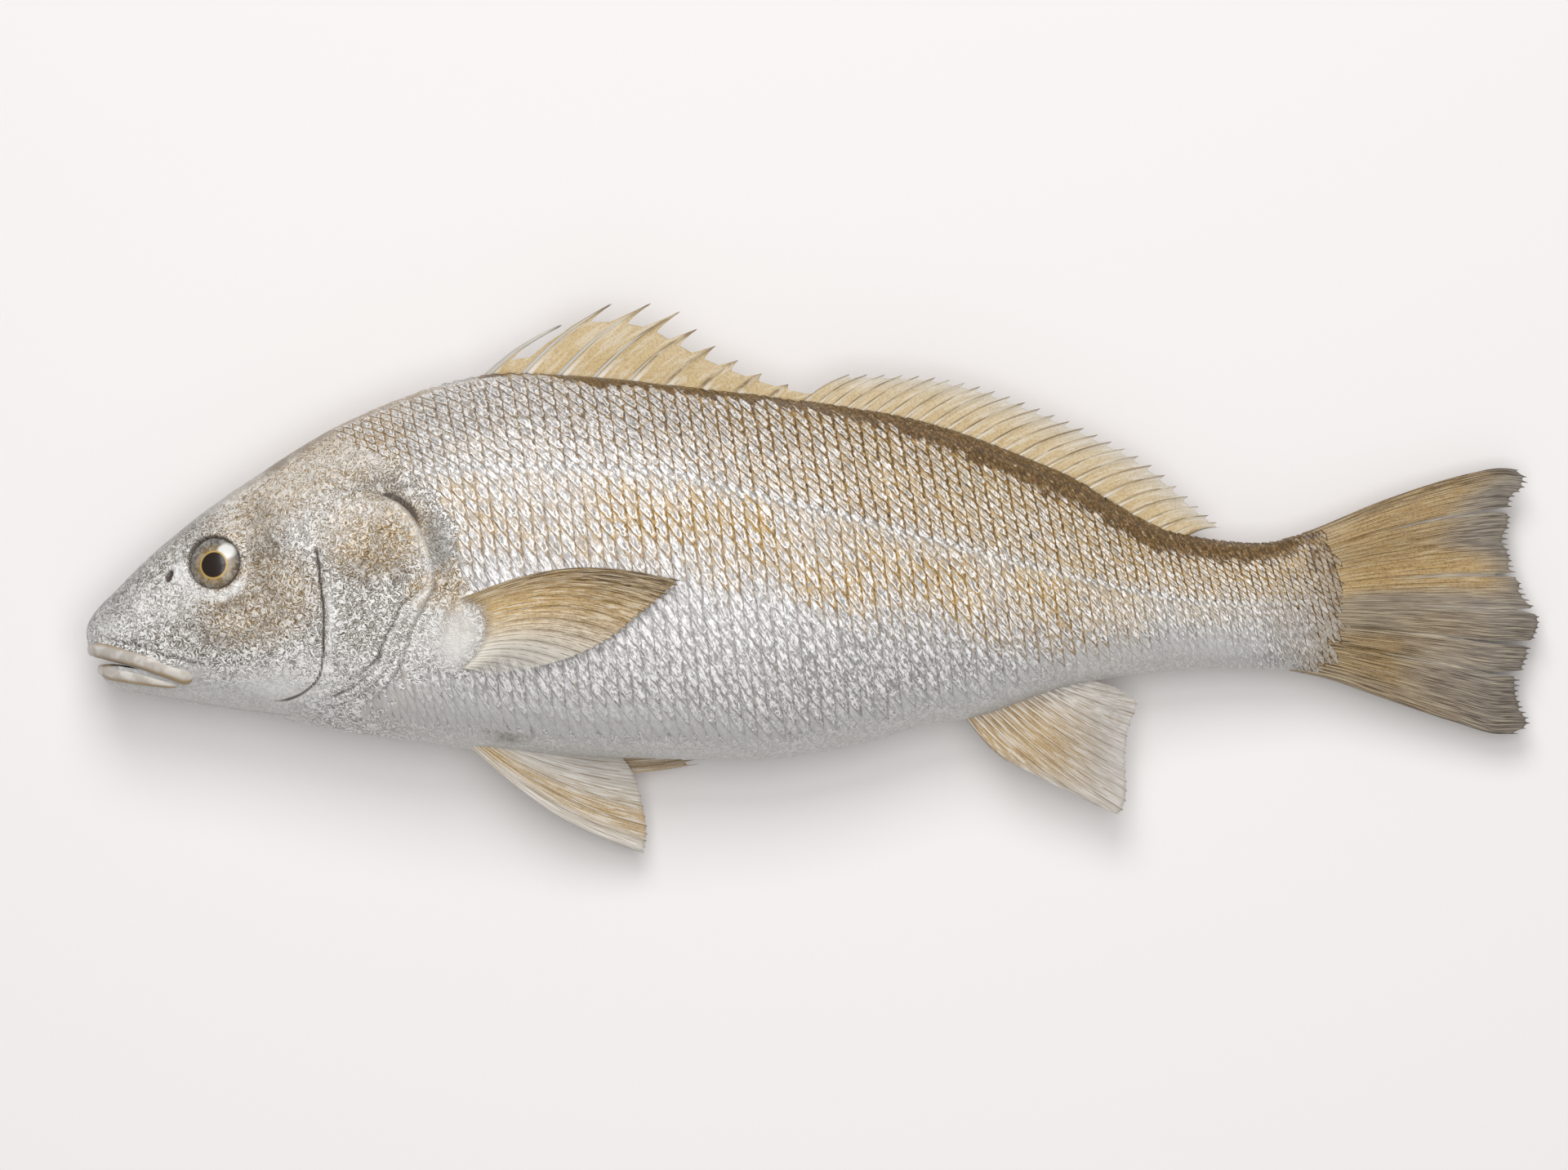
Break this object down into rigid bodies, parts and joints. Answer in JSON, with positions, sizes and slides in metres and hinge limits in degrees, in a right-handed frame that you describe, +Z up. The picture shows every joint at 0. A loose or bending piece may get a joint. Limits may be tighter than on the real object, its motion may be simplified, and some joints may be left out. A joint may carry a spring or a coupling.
{
  "type": "whole raw fish",
  "caption": "Whole raw silvery croaker with scales, fins and head on, lying flat on its right side with its left side up, for kitchen, market and fishing scenes.",
  "frame": {"origin": "on the table, under the middle of the fish's bounding box", "axes": "+X from the snout to the tail, +Y from the belly to the back, +Z up from the table, out of the left side"},
  "size_m": [0.4497, 0.1706, 0.0582],
  "materials": {
    "skin": "satin",
    "eye": "polished"
  },
  "bodies": {
    "root": {"fish": "skin", "eye_left": "eye", "eye_right": "eye"}
  },
  "joints": []
}
